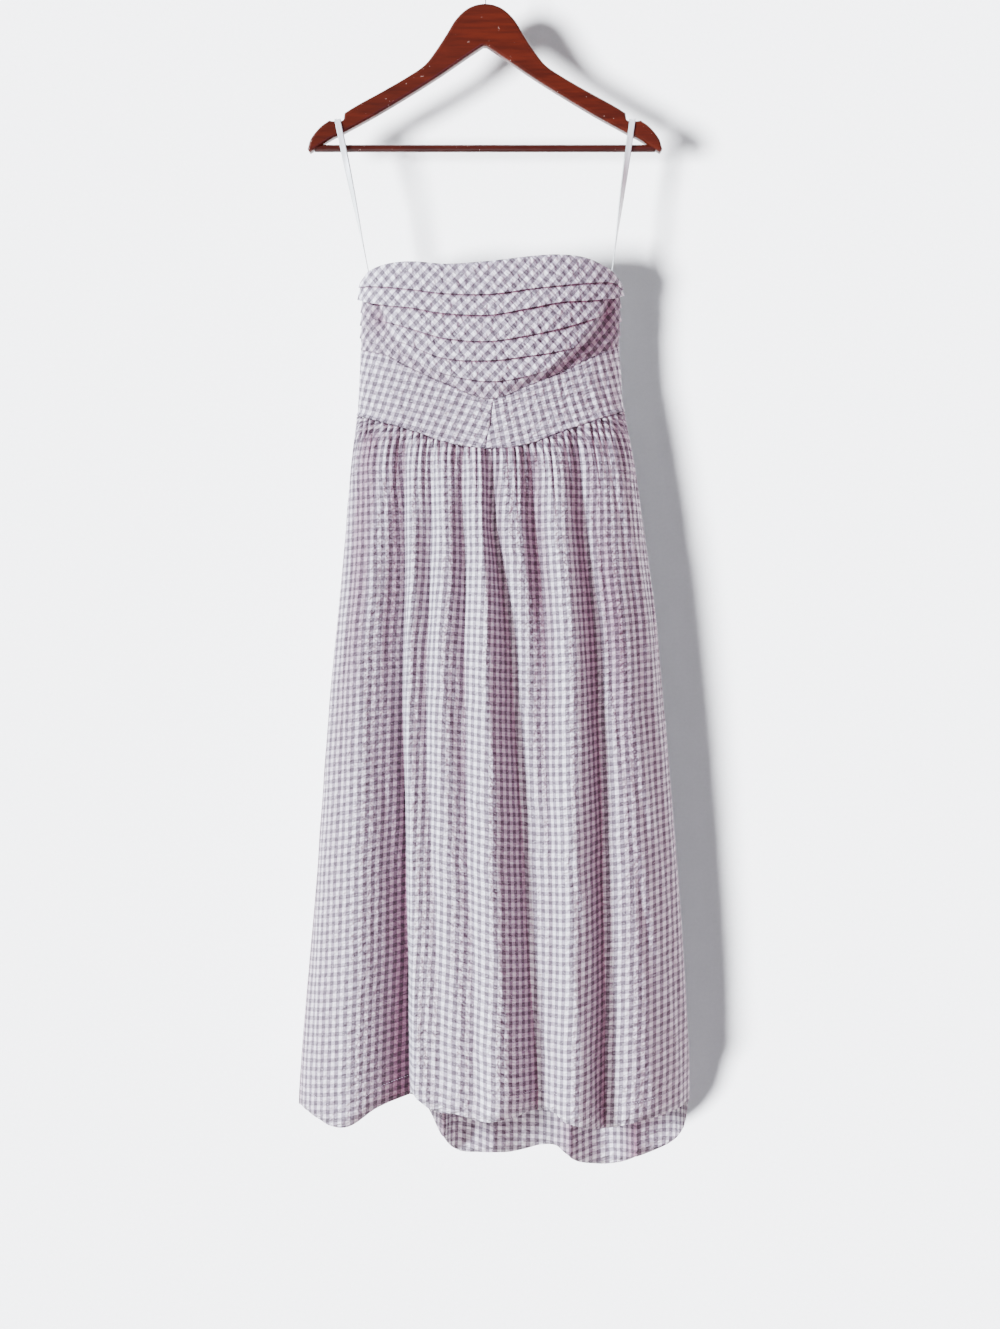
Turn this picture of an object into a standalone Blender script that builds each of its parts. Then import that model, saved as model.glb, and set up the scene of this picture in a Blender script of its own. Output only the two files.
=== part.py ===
# A strapless gingham dress hung by two satin loops on a lacquered wooden hanger.
# Metres, +Z up. The origin is the inner top of the hanger's hook and the dress's front
# faces -Y. Left and right are as seen from the front, left being at -X.
# The tables are in millimetres: across is X, down is the distance below the origin.

import math

import bmesh
import bpy
from mathutils import Vector

MM = 0.001

CLOTH = 2.0 * MM              # wall of every cloth panel
SEAM_GAP = 0.4 * MM           # between two panels that are sewn together
PLEAT_STEP = 2.2 * MM         # how far a bust layer's lower edge stands proud
CUP_RISE = 6.0 * MM           # how far the bust panel stands out from the sides

SKIRT_GATHERS = 42            # in the front panel, and in the two back panels
COLUMNS_PER_GATHER = 4
GATHER_HEIGHT = 1.15 * MM
GATHER_LENGTH = 0.055
FLARE_HEIGHT = 2.6 * MM       # the softer folds that the gathers run into
FLARE_LENGTH = 0.20

HANGER_THICK = 13 * MM
HANGER_TOP = 78               # mm below the origin
BAR_RADIUS = 4.5 * MM
WIRE_RADIUS = 1.6 * MM
HOOK_INNER = 19 * MM
RIBBON_WIDE = 7.5 * MM
RIBBON_THICK = 1.0 * MM

# The front's seams and hem are given as they are seen from in front, at this distance
# and height, on the hanger's plane.
EYE_X = 0.0188
EYE_Y = -1.9
EYE_Z = -0.9047

# The dress's own outline: down, left, right, and how deep its front and back halves are.
SECTIONS = [
    # down    left    right  front  back
    (390.0, -148.0, 161.0, 40.0, 30.0),
    (430.0, -152.0, 166.5, 45.0, 33.0),
    (450.0, -153.5, 168.5, 47.0, 34.0),
    (510.0, -155.4, 168.0, 48.0, 36.0),
    (573.0, -158.5, 172.0, 46.0, 36.0),
    (591.0, -159.2, 174.2, 45.0, 36.0),
    (655.0, -167.3, 186.8, 48.0, 42.0),
    (703.0, -171.5, 194.3, 52.0, 46.0),
    (802.0, -180.5, 208.3, 57.0, 52.0),
    (868.0, -186.8, 216.1, 60.0, 55.0),
    (955.0, -195.0, 223.8, 63.0, 58.0),
    (1071.0, -203.4, 233.9, 67.0, 62.0),
    (1191.0, -212.5, 243.6, 70.0, 66.0),
    (1323.0, -223.8, 252.0, 73.0, 69.0),
    (1430.0, -231.5, 255.3, 75.0, 72.0),
    (1590.0, -236.0, 254.0, 78.0, 75.0),
]

# Lower edges of the bust panel's layers: how far down each is at these places across.
PLEAT_ACROSS = (-155, -145, -122, -91, -50, 6, 58, 94, 130, 159, 169)
PLEAT_LINES = [
    # name     side                       centre                       side
    ("top", (426, 412, 402, 399, 402, 398, 392, 390, 395, 412, 427)),
    ("one", (432, 431, 432, 435, 440, 441, 434, 430, 427, 427, 435)),
    ("two", (447, 451, 455, 458, 465, 467, 458, 451, 449, 446, 442)),
    ("three", (463, 468, 475, 484, 496, 500, 492, 484, 473, 462, 457)),
    ("four", (479, 484, 494, 505, 521, 524, 518, 512, 502, 483, 474)),
    ("five", (495, 499, 507, 520, 540, 550, 542, 528, 512, 498, 492)),
    ("seam", (510, 512, 517, 533, 551, 571, 553, 538, 521, 508, 505)),
]

# The raised bust panel's edges below the second layer: down, left, right.
CUP_EDGE = [
    (448, -134, 152),
    (473, -124, 142),
    (504, -106, 124),
    (529, -84, 98),
    (548, -54, 75),
    (563, -21, 44),
    (572, 9, 16),
]

# Waist seam and front hem: across, down.
WAIST = [(-160, 594), (-122, 603), (-86, 613), (-50, 626), (-14, 633), (22, 634),
         (58, 627), (94, 614), (130, 602), (175, 588)]
FRONT_HEM = [(-232, 1455), (-203, 1474), (-180, 1485), (-162, 1482), (-138, 1461),
             (-112, 1447), (-94, 1442), (-86, 1450), (-66, 1464), (-35, 1469), (-1, 1479), (34, 1473), (58, 1464), (84, 1466),
             (100, 1481), (149, 1486), (208, 1472), (242, 1459), (255, 1448)]
BACK_HEM = [(-232, 1456), (-182, 1448), (-113, 1441), (-72, 1452), (-60, 1488),
            (-41, 1513), (34, 1515), (74, 1505), (93, 1506), (115, 1528), (166, 1528),
            (214, 1512), (247, 1486), (255, 1451)]
CENTRE_SEAM_TOP = 12
CENTRE_SEAM_FOOT = 0
HALF_COLUMNS = 18             # of each half of the bodice's front
BACK_NECK = 433

# The skirt front's large folds. Place is the share of the width from the left seam and
# rise is in mm, both at three levels.
FOLD_LEVELS = (737, 913, 1425)
CREASED = 0.75                # from 0, round valleys, to 1, sharp ones
FRONT_FOLDS = [
    # name         high   mid    low    high  mid  low
    ("left seam", 0.000, 0.000, 0.000, 0, 0, 0),
    ("crest A", 0.118, 0.105, 0.125, 9, 12, 16),
    ("valley A", 0.195, 0.215, 0.275, -9, -18, -34),
    ("edge B", 0.230, 0.250, 0.309, 9, 9, 4),
    ("dip B1", 0.285, 0.292, 0.370, -5, -2, 2),
    ("crest B1", 0.350, 0.350, 0.415, 9, 11, 9),
    ("dip B2", 0.390, 0.405, 0.452, -5, -2, 6),
    ("crest B2", 0.455, 0.468, 0.502, 10, 14, 21),
    ("valley B", 0.487, 0.545, 0.610, -10, -14, -17),
    ("crest C1", 0.545, 0.600, 0.628, 7, -5, -10),
    ("dip C", 0.635, 0.645, 0.645, -7, -6, 1),
    ("crest C2", 0.715, 0.708, 0.690, 10, 15, 22),
    ("valley C", 0.800, 0.800, 0.785, -9, -9, -12),
    ("crest D", 0.885, 0.885, 0.855, 9, 11, 13),
    ("right seam", 1.000, 1.000, 1.000, 0, 0, 0),
]
BACK_FOLDS = [
    # name         high   mid    low    high  mid  low
    ("left seam", 0.000, 0.000, 0.000, 0, 0, 0),
    ("crest E", 0.085, 0.100, 0.115, 5, 8, 12),
    ("valley E", 0.160, 0.180, 0.215, -6, -9, -15),
    ("crest F", 0.235, 0.260, 0.305, 7, 11, 17),
    ("valley F", 0.315, 0.335, 0.365, -6, -9, -14),
    ("crest G", 0.395, 0.405, 0.415, 6, 9, 14),
    ("centre", 0.500, 0.500, 0.500, -3, -5, -7),
    ("crest H", 0.600, 0.605, 0.610, 7, 10, 16),
    ("valley H", 0.680, 0.690, 0.705, -7, -10, -16),
    ("crest K", 0.765, 0.775, 0.795, 6, 10, 17),
    ("valley K", 0.850, 0.860, 0.880, -5, -7, -10),
    ("crest L", 0.925, 0.935, 0.945, 4, 6, 8),
    ("right seam", 1.000, 1.000, 1.000, 0, 0, 0),
]

# The hanger's right half: across from its middle, down from its head.
ARM_TOP = [(0, 0), (20, 5), (36, 19), (48, 38), (61, 58), (76, 77), (98, 92), (129, 110),
           (160, 127), (176, 137), (179, 146), (190, 147), (195, 146), (207, 155),
           (218, 169), (222, 182)]
ARM_FOOT = [(219, 186), (192, 169), (176, 161), (129, 135), (67, 99), (20, 68), (0, 57)]
BAR_DOWN = 180
BAR_HALF = 213


def mix(a, b, share):
    return a + (b - a) * share


def smooth(share):
    share = min(1.0, max(0.0, share))
    return share * share * (3 - 2 * share)


def slope_at(rows, index, column):
    low = rows[max(index - 1, 0)]
    high = rows[min(index + 1, len(rows) - 1)]
    return (high[column] - low[column]) / (high[0] - low[0])


def read_table(rows, where, column):
    """The table's value at where, its first column being the place. It follows a smooth
    curve through the rows."""
    if where <= rows[0][0]:
        return rows[0][column]
    for index, high in enumerate(rows[1:]):
        low = rows[index]
        if where <= high[0]:
            span = high[0] - low[0]
            share = (where - low[0]) / span
            value = mix(low[column], high[column], smooth(share))
            leaving = slope_at(rows, index, column) * span
            arriving = slope_at(rows, index + 1, column) * span
            value += leaving * share * (1 - share) ** 2
            return value - arriving * share * share * (1 - share)
    return rows[-1][column]


def section(z):
    """Left, right, front depth and back depth of the dress at this height."""
    down = -z / MM
    return [read_table(SECTIONS, down, column) * MM for column in (1, 2, 3, 4)]


def base_point(turn, z, side):
    """The plain form's point and outward direction. Turn runs from the left side seam
    at 0 to the right one at 1, and side is -1 at the front and 1 at the back."""
    left, right, front, back = section(z)
    half = (right - left) / 2
    depth = front if side < 0 else back
    angle = math.pi * turn
    x = (left + right) / 2 - half * math.cos(angle)
    y = side * depth * math.sin(angle)
    out = Vector((-math.cos(angle) / half, side * math.sin(angle) / depth, 0)).normalized()
    return Vector((x, y, z)), out


def even_turns(count):
    """Turns that divide a side of the waist into equal lengths of cloth, from 0 to 1."""
    left, right, front, _ = section(-0.60)
    half = (right - left) / 2
    steps = 400
    lengths = [0.0]
    for step in range(steps):
        angle = math.pi * (step + 0.5) / steps
        lengths.append(lengths[-1] + math.hypot(half * math.sin(angle), front * math.cos(angle)))
    turns = []
    step = 0
    for number in range(count + 1):
        wanted = lengths[-1] * number / count
        while step < steps - 1 and lengths[step + 1] < wanted:
            step += 1
        share = (wanted - lengths[step]) / (lengths[step + 1] - lengths[step])
        turns.append((step + share) / steps)
    return turns


def seen(across, down, y):
    """The real height of a line that is seen so far down, lying at this depth."""
    return EYE_Z + (-down * MM - EYE_Z) * (y - EYE_Y) / -EYE_Y


def seen_line(read, turn, side, near):
    """The height at which a line crosses this turn. Read gives its down for an across."""
    point, _ = base_point(turn, -near * MM, side)
    across = EYE_X + (point.x - EYE_X) * -EYE_Y / (point.y - EYE_Y)
    return seen(across, read(across / MM), point.y)


def waist(turn, side):
    if side > 0:
        return -mix(594, 588, turn) * MM
    return seen_line(lambda across: read_table(WAIST, across, 1), turn, side, 610)


def hem(turn, side):
    table = FRONT_HEM if side < 0 else BACK_HEM
    return seen_line(lambda across: read_table(table, across, 1), turn, side, 1470)


def pleat_line(index, turn):
    rows = list(zip(PLEAT_ACROSS, PLEAT_LINES[index][1]))
    return seen_line(lambda across: read_table(rows, across, 1), turn, -1, 470)


def back_neck(turn):
    ends = mix(PLEAT_LINES[0][1][0], PLEAT_LINES[0][1][-1], turn)
    return -mix(ends, BACK_NECK, math.sin(math.pi * turn)) * MM


def seam_turn(depth):
    """The turn that leaves half a seam gap at a side seam."""
    return SEAM_GAP / 2 / (math.pi * depth)


def main_folds(folds, across, z):
    """How far the large folds stand out at this share of the width and this height.
    They are rounder at their crests than in their valleys."""
    down = -z / MM
    places = []
    for fold in folds:
        place_row = list(zip(FOLD_LEVELS, fold[1:4]))
        rise_row = [(590, 0)] + list(zip(FOLD_LEVELS, fold[4:7]))
        places.append((read_table(place_row, down, 1), read_table(rise_row, down, 1)))
    for low, high in zip(places, places[1:]):
        if across <= high[0]:
            break
    share = min(1.0, max(0.0, (across - low[0]) / (high[0] - low[0])))
    creased = share ** 1.8 if high[1] < low[1] else 1 - (1 - share) ** 2.1
    return mix(low[1], high[1], mix(smooth(share), creased, CREASED)) * MM


def gathers(column, below):
    """Fine gathers at the waist, every other one running on as a softer fold."""
    phase = 2 * math.pi * column / COLUMNS_PER_GATHER
    uneven = 0.75 + 0.25 * math.sin(column * 0.37) * math.sin(column * 0.113 + 1)
    fine = GATHER_HEIGHT * math.cos(phase) * math.exp(-below / GATHER_LENGTH)
    start = smooth(below / 0.05)
    flare = FLARE_HEIGHT * math.cos(phase / 2 + 0.8 * math.sin(column * 0.09))
    return uneven * (fine + start * flare * math.exp(-below / FLARE_LENGTH))


def skirt_point(turn, drop, side, column, folds):
    """Outer and inner point of the skirt, drop being 0 at the waist and 1 at the hem."""
    top = waist(turn, side) - SEAM_GAP / 2
    z = mix(top, hem(turn, side), drop)
    point, out = base_point(turn, z, side)
    left, right, _, _ = section(z)
    rise = main_folds(folds, (point.x - left) / (right - left), z)
    rise += gathers(column, top - z)
    ends = smooth(min(turn, 1 - turn) / 0.03)
    outer = point + out * rise * ends
    return outer, outer - out * CLOTH


def bust_bulge(across, down, seam_down, two_down):
    """How far the bust panel stands out: over the full width down to the second layer,
    and below it only between the cup edges."""
    left = read_table(CUP_EDGE, down, 1)
    right = read_table(CUP_EDGE, down, 2)
    inside = smooth((across - left) / 12 + 0.5) * smooth((right - across) / 12 + 0.5)
    hollow = -3.0 * MM * math.exp(-(((across + 128) / 14) ** 2 + ((down - 480) / 25) ** 2))
    below = CUP_RISE * inside + hollow * (1 - inside)
    ends = 0.65 + 0.35 * smooth(min(across + 156, 170 - across) / 20)
    bulge = CUP_RISE * ends if down < two_down else below
    return bulge * smooth((seam_down - down) / 12)


def clear_scene():
    for obj in list(bpy.data.objects):
        bpy.data.objects.remove(obj, do_unlink=True)


def collection_named(name):
    made = bpy.data.collections.new(name)
    bpy.context.scene.collection.children.link(made)
    return made


def material(name, colour, roughness, metallic=0.0):
    made = bpy.data.materials.new(name)
    made.use_nodes = True
    shader = made.node_tree.nodes["Principled BSDF"]
    shader.inputs["Base Color"].default_value = (*colour, 1)
    shader.inputs["Roughness"].default_value = roughness
    shader.inputs["Metallic"].default_value = metallic
    return made


def finish(name, bm, look, group):
    bmesh.ops.recalc_face_normals(bm, faces=bm.faces)
    mesh = bpy.data.meshes.new(name)
    bm.to_mesh(mesh)
    bm.free()
    obj = bpy.data.objects.new(name, mesh)
    mesh.materials.append(look)
    group.objects.link(obj)
    return obj


def join_rows(bm, upper, lower):
    """Faces between two rows of points, the lower having as many spans or half as many."""
    if len(upper) == len(lower):
        for i in range(len(upper) - 1):
            bm.faces.new((upper[i], upper[i + 1], lower[i + 1], lower[i]))
        return
    for i in range(len(lower) - 1):
        first, middle, last = upper[2 * i:2 * i + 3]
        bm.faces.new((first, middle, lower[i]))
        bm.faces.new((middle, lower[i + 1], lower[i]))
        bm.faces.new((middle, last, lower[i + 1]))


def wall(name, rows, look, group):
    """A closed cloth wall. Rows run from its top edge to its foot, and each is a list of
    outer and inner points."""
    bm = bmesh.new()
    outer = [[bm.verts.new(pair[0]) for pair in row] for row in rows]
    inner = [[bm.verts.new(pair[1]) for pair in row] for row in rows]
    for grid in (outer, inner):
        for upper, lower in zip(grid, grid[1:]):
            join_rows(bm, upper, lower)
    for edge in (0, -1):
        join_rows(bm, outer[edge], inner[edge])
        join_rows(bm, [row[edge] for row in outer], [row[edge] for row in inner])
    return finish(name, bm, look, group)


def skirt_panel(name, first, last, side, folds, look, group):
    """A gathered panel between two columns. Below the gathers it has every other one."""
    drops = (0, 0.014, 0.036, 0.068, 0.115, 0.18, 0.27, 0.38, 0.50, 0.63, 0.76, 0.88, 1)
    fine_rows = 4
    count = SKIRT_GATHERS * COLUMNS_PER_GATHER
    turns = even_turns(count)
    edge = seam_turn(0.045)
    middle = SEAM_GAP / 2 / 0.5
    rows = []
    for number, drop in enumerate(drops):
        step = 1 if number < fine_rows else 2
        row = []
        for column in range(first, last + 1, step):
            turn = min(1 - edge, max(edge, turns[column]))
            if side > 0 and column == count // 2:
                turn = 0.5 - middle if column == last else 0.5 + middle
            row.append(skirt_point(turn, drop, side, column, folds))
        rows.append(row)
    return wall(name, rows, look, group)


def bust_panel(look, group):
    """Six layers, each standing out more towards its lower edge, then stepping in."""
    columns = 2 * HALF_COLUMNS
    step_down = 0.9 * MM
    edge = seam_turn(0.047)
    middle = centre_turn(0)
    rows = []
    for layer in range(len(PLEAT_LINES) - 1):
        for share in (0, 0.5, 1):
            row = []
            for column in range(columns + 1):
                half = column / HALF_COLUMNS
                turn = mix(edge, middle, half)
                if half > 1:
                    turn = mix(middle, 1 - edge, half - 1)
                high = pleat_line(layer, turn)
                low = pleat_line(layer + 1, turn)
                if layer:
                    high -= step_down
                if layer == len(PLEAT_LINES) - 2:
                    low += SEAM_GAP / 2
                z = mix(high, low, share)
                point, out = base_point(turn, z, -1)
                seam = -pleat_line(-1, turn) / MM
                two = -pleat_line(2, turn) / MM + 0.1
                bulge = bust_bulge(point.x / MM, -z / MM, seam, two)
                last = layer == len(PLEAT_LINES) - 2
                rise = 0 if last else PLEAT_STEP * share
                outer = point + out * (bulge + rise)
                row.append((outer, point + out * (bulge - CLOTH)))
            rows.append(row)
    return wall("bust_front", rows, look, group)


def centre_turn(down_share):
    across = mix(CENTRE_SEAM_TOP, CENTRE_SEAM_FOOT, down_share) * MM
    left, right, _, _ = section(-0.60)
    return math.acos((left + right - 2 * across) / (right - left)) / math.pi


def midriff_panel(name, left_side, look, group):
    columns = HALF_COLUMNS
    edge = seam_turn(0.046)
    seam_half = SEAM_GAP / 2 / 0.5
    rows = []
    for number in range(6):
        share = number / 5
        centre = centre_turn(share)
        ends = (edge, centre - seam_half) if left_side else (centre + seam_half, 1 - edge)
        row = []
        for column in range(columns + 1):
            turn = mix(ends[0], ends[1], column / columns)
            top = pleat_line(-1, turn) - SEAM_GAP / 2
            foot = waist(turn, -1) + SEAM_GAP / 2
            point, out = base_point(turn, mix(top, foot, share), -1)
            row.append((point, point - out * CLOTH))
        rows.append(row)
    return wall(name, rows, look, group)


def back_panel(name, first, last, look, group):
    columns = 14
    rows = []
    for number in range(8):
        share = number / 7
        row = []
        for column in range(columns + 1):
            turn = mix(first, last, column / columns)
            z = mix(back_neck(turn), waist(turn, 1) + SEAM_GAP / 2, share)
            point, out = base_point(turn, z, 1)
            row.append((point, point - out * CLOTH))
        rows.append(row)
    return wall(name, rows, look, group)


def ribbon_loop(name, side, top_x, foot_x, look, group):
    """A ribbon from inside the side of the bodice, up in front of the arm, over its
    notch, and down behind to the same side. Its flat face turns as it goes down."""
    front = -(HANGER_THICK / 2 + 1.2 * MM)
    notch = -(HANGER_TOP + 146) * MM + 1.2 * MM
    foot = -0.428
    path = []
    # share of the way up, how far the ribbon stands in front, quarter turns of its face
    for up, stand, turned in ((0, 0.62, 1), (0.12, 0.62, 1), (0.3, 0.66, 0.85),
                              (0.55, 0.78, 0.5), (0.8, 0.94, 0.12), (0.97, 1, 0)):
        x = mix(foot_x, top_x, up)
        path.append((x, front * stand, mix(foot, notch, up), turned))
    over = [(top_x, front * 0.8, notch + 0.6 * MM, 0), (top_x, front * 0.3, notch + 1.2 * MM, 0)]
    behind = [(x, -y, z, -turned) for x, y, z, turned in reversed(path + over)]
    path = path + over + behind
    fine = []
    for low, high in zip(path, path[1:]):
        pieces = max(1, round(abs(high[2] - low[2]) / 0.016))
        for piece in range(pieces):
            fine.append(tuple(mix(a, b, piece / pieces) for a, b in zip(low, high)))
    path = fine + path[-1:]
    bm = bmesh.new()
    rings = []
    for i, (x, y, z, turned) in enumerate(path):
        before = Vector(path[max(i - 1, 0)][:3])
        after = Vector(path[min(i + 1, len(path) - 1)][:3])
        along = (after - before).normalized()
        angle = turned * math.pi / 2
        flat = Vector((math.cos(angle), side * math.sin(angle), 0))
        flat = (flat - along * flat.dot(along)).normalized()
        face = along.cross(flat)
        ring = []
        for wide, thick in ((-1, -1), (1, -1), (1, 1), (-1, 1)):
            corner = Vector((x, y, z)) + flat * wide * RIBBON_WIDE / 2
            ring.append(bm.verts.new(corner + face * thick * RIBBON_THICK / 2))
        rings.append(ring)
    for low, high in zip(rings, rings[1:]):
        for k in range(4):
            bm.faces.new((low[k], low[(k + 1) % 4], high[(k + 1) % 4], high[k]))
    bm.faces.new(rings[0])
    bm.faces.new(rings[-1])
    return finish(name, bm, look, group)


def cylinder(name, start, end, radius, sides, look, group):
    bm = bmesh.new()
    axis = (end - start).normalized()
    across = axis.orthogonal().normalized()
    other = axis.cross(across)
    rings = []
    for centre in (start, end):
        ring = []
        for k in range(sides):
            angle = 2 * math.pi * k / sides
            spoke = across * math.cos(angle) + other * math.sin(angle)
            ring.append(bm.verts.new(centre + spoke * radius))
        rings.append(ring)
    for k in range(sides):
        k2 = (k + 1) % sides
        bm.faces.new((rings[0][k], rings[0][k2], rings[1][k2], rings[1][k]))
    bm.faces.new(rings[0])
    bm.faces.new(rings[1])
    return finish(name, bm, look, group)


def hanger(look, group, cutters):
    outline = ARM_TOP + ARM_FOOT
    outline += [(-x, y) for x, y in reversed(outline[1:-1])]
    bm = bmesh.new()
    rings = []
    for y in (-HANGER_THICK / 2, HANGER_THICK / 2):
        rings.append([bm.verts.new((x * MM, y, -(HANGER_TOP + d) * MM)) for x, d in outline])
    count = len(outline)
    for k in range(count):
        k2 = (k + 1) % count
        bm.faces.new((rings[0][k], rings[0][k2], rings[1][k2], rings[1][k]))
    bm.faces.new(rings[0])
    bm.faces.new(rings[1])
    body = finish("hanger_body", bm, look, group)
    bevel = body.modifiers.new("rounded edges", "BEVEL")
    bevel.width = 2.6 * MM
    bevel.segments = 2
    bevel.limit_method = "ANGLE"
    bevel.angle_limit = math.radians(60)
    bar_z = -(HANGER_TOP + BAR_DOWN) * MM
    reach = (BAR_HALF + 0.5) * MM
    head = -HANGER_TOP * MM
    bores = [
        ("bar_bore", Vector((-reach, 0, bar_z)), Vector((reach, 0, bar_z)), BAR_RADIUS, 16),
        ("hook_bore", Vector((0, 0, head - 0.02)), Vector((0, 0, head + 0.01)), WIRE_RADIUS, 12),
    ]
    for name, start, end, radius, sides in bores:
        cutter = cylinder(name, start, end, radius + 0.35 * MM, sides, look, cutters)
        cutter.hide_render = True
        cutter.display_type = "WIRE"
        cut = body.modifiers.new(name, "BOOLEAN")
        cut.operation = "DIFFERENCE"
        cut.solver = "EXACT"
        cut.object = cutter
    return body


def hook(look, group):
    """The wire: a straight stem out of the hanger's head, then a round hook."""
    radius = HOOK_INNER + WIRE_RADIUS
    centre_z = -HOOK_INNER
    points = [Vector((0, 0, -(HANGER_TOP + 19) * MM)), Vector((0, 0, -0.062))]
    start = math.radians(-48)
    joint = Vector((radius * math.cos(start), 0, centre_z + radius * math.sin(start)))
    heading = Vector((-math.sin(start), 0, math.cos(start)))
    low = points[-1]
    for k in range(1, 5):
        share = k / 5
        a = low + Vector((0, 0, 0.012)) * share
        b = joint - heading * 0.012 * (1 - share)
        points.append(a.lerp(b, smooth(share)))
    for k in range(19):
        angle = mix(start, math.radians(205), k / 18)
        points.append(Vector((radius * math.cos(angle), 0, centre_z + radius * math.sin(angle))))
    curve = bpy.data.curves.new("hanger_hook", "CURVE")
    curve.dimensions = "3D"
    curve.bevel_depth = WIRE_RADIUS
    curve.bevel_resolution = 2
    curve.use_fill_caps = True
    spline = curve.splines.new("POLY")
    spline.points.add(len(points) - 1)
    for place, point in zip(spline.points, points):
        place.co = (*point, 1)
    obj = bpy.data.objects.new("hanger_hook", curve)
    curve.materials.append(look)
    group.objects.link(obj)
    return obj


def box(name, low, high, look, group):
    bm = bmesh.new()
    bmesh.ops.create_cube(bm, size=1)
    for vert in bm.verts:
        for axis in range(3):
            vert.co[axis] = mix(low[axis], high[axis], vert.co[axis] + 0.5)
    return finish(name, bm, look, group)


def zip_pull(look, group):
    """A slider at the head of the centre-back seam, and its pull hanging from a pin."""
    z = back_neck(0.5) - 0.010
    point, _ = base_point(0.5, z, 1)
    y = point.y + 0.5 * MM
    slider = box("zip_slider", (point.x - 0.0025, y, z - 0.004),
                 (point.x + 0.0025, y + 0.0016, z + 0.004), look, group)
    tab = box("zip_tab", (point.x - 0.0021, y + 0.0024, z - 0.020),
              (point.x + 0.0021, y + 0.0036, z + 0.001), look, group)
    return slider, tab


def build():
    clear_scene()
    group = collection_named("strapless dress")
    cutters = collection_named("cutters")
    cutters.hide_render = True
    gingham = material("gingham seersucker", (0.62, 0.52, 0.66), 0.85)
    satin = material("satin ribbon", (0.86, 0.88, 0.84), 0.35)
    wood = material("lacquered wood", (0.17, 0.022, 0.010), 0.28)
    bar_wood = material("bar wood", (0.11, 0.020, 0.010), 0.32)
    steel = material("hook steel", (0.62, 0.60, 0.57), 0.3, 1.0)
    zip_metal = material("zip metal", (0.75, 0.73, 0.76), 0.35, 1.0)

    bust_panel(gingham, group)
    midriff_panel("midriff_front_left", True, gingham, group)
    midriff_panel("midriff_front_right", False, gingham, group)

    side = seam_turn(0.036)
    middle = SEAM_GAP / 2 / 0.5
    back_panel("bodice_back_left", side, 0.5 - middle, gingham, group)
    back_panel("bodice_back_right", 0.5 + middle, 1 - side, gingham, group)

    count = SKIRT_GATHERS * COLUMNS_PER_GATHER
    skirt_panel("skirt_front", 0, count, -1, FRONT_FOLDS, gingham, group)
    skirt_panel("skirt_back_left", 0, count // 2, 1, BACK_FOLDS, gingham, group)
    skirt_panel("skirt_back_right", count // 2, count, 1, BACK_FOLDS, gingham, group)

    ribbon_loop("loop_left", -1, -0.1845, -0.1428, satin, group)
    ribbon_loop("loop_right", 1, 0.1845, 0.1570, satin, group)

    hanger(wood, group, cutters)
    bar_z = -(HANGER_TOP + BAR_DOWN) * MM
    cylinder("hanger_bar", Vector((-BAR_HALF * MM, 0, bar_z)), Vector((BAR_HALF * MM, 0, bar_z)),
             BAR_RADIUS, 16, bar_wood, group)
    hook(steel, group)
    zip_pull(zip_metal, group)


build()
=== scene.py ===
import math

import bmesh
import bpy
import numpy as np
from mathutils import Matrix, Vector


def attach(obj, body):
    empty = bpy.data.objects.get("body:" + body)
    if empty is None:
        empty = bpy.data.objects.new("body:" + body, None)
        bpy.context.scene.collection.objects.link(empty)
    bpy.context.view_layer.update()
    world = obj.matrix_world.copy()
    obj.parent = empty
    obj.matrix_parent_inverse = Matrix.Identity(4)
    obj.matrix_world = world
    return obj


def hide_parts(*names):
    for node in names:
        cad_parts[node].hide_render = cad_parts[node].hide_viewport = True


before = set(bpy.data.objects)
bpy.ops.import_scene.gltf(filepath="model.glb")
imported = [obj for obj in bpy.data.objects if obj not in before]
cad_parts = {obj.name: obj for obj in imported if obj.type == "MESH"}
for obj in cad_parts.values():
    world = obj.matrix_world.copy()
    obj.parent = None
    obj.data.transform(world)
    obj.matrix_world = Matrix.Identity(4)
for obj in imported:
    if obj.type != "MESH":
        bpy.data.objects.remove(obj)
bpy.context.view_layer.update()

MM = 0.001

# The garment's sizes

CLOTH_SHOWN = 0.7 * MM
PLEAT_STEP = 2.2 * MM
CUP_RISE = 6.0 * MM
GATHERS = 42
CHECK = 10 * MM
SKIRT_CUT = 0.66
SEAM_GAP = 0.4 * MM

EYE = (0.0188, -1.9, -0.9047)

SECTIONS = [
    (390.0, -148.0, 161.0, 40.0, 30.0),
    (430.0, -152.0, 166.5, 45.0, 33.0),
    (450.0, -153.5, 168.5, 47.0, 34.0),
    (510.0, -155.4, 168.0, 48.0, 36.0),
    (573.0, -158.5, 172.0, 46.0, 36.0),
    (591.0, -159.2, 174.2, 45.0, 36.0),
    (655.0, -167.3, 186.8, 48.0, 42.0),
    (703.0, -171.5, 194.3, 52.0, 46.0),
    (802.0, -180.5, 208.3, 57.0, 52.0),
    (868.0, -186.8, 216.1, 60.0, 55.0),
    (955.0, -195.0, 223.8, 63.0, 58.0),
    (1071.0, -203.4, 233.9, 67.0, 62.0),
    (1191.0, -212.5, 243.6, 70.0, 66.0),
    (1323.0, -223.8, 252.0, 73.0, 69.0),
    (1430.0, -231.5, 255.3, 75.0, 72.0),
    (1590.0, -236.0, 254.0, 78.0, 75.0),
]
PLEAT_ACROSS = (-155, -145, -122, -91, -50, 6, 58, 94, 130, 159, 169)
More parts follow.
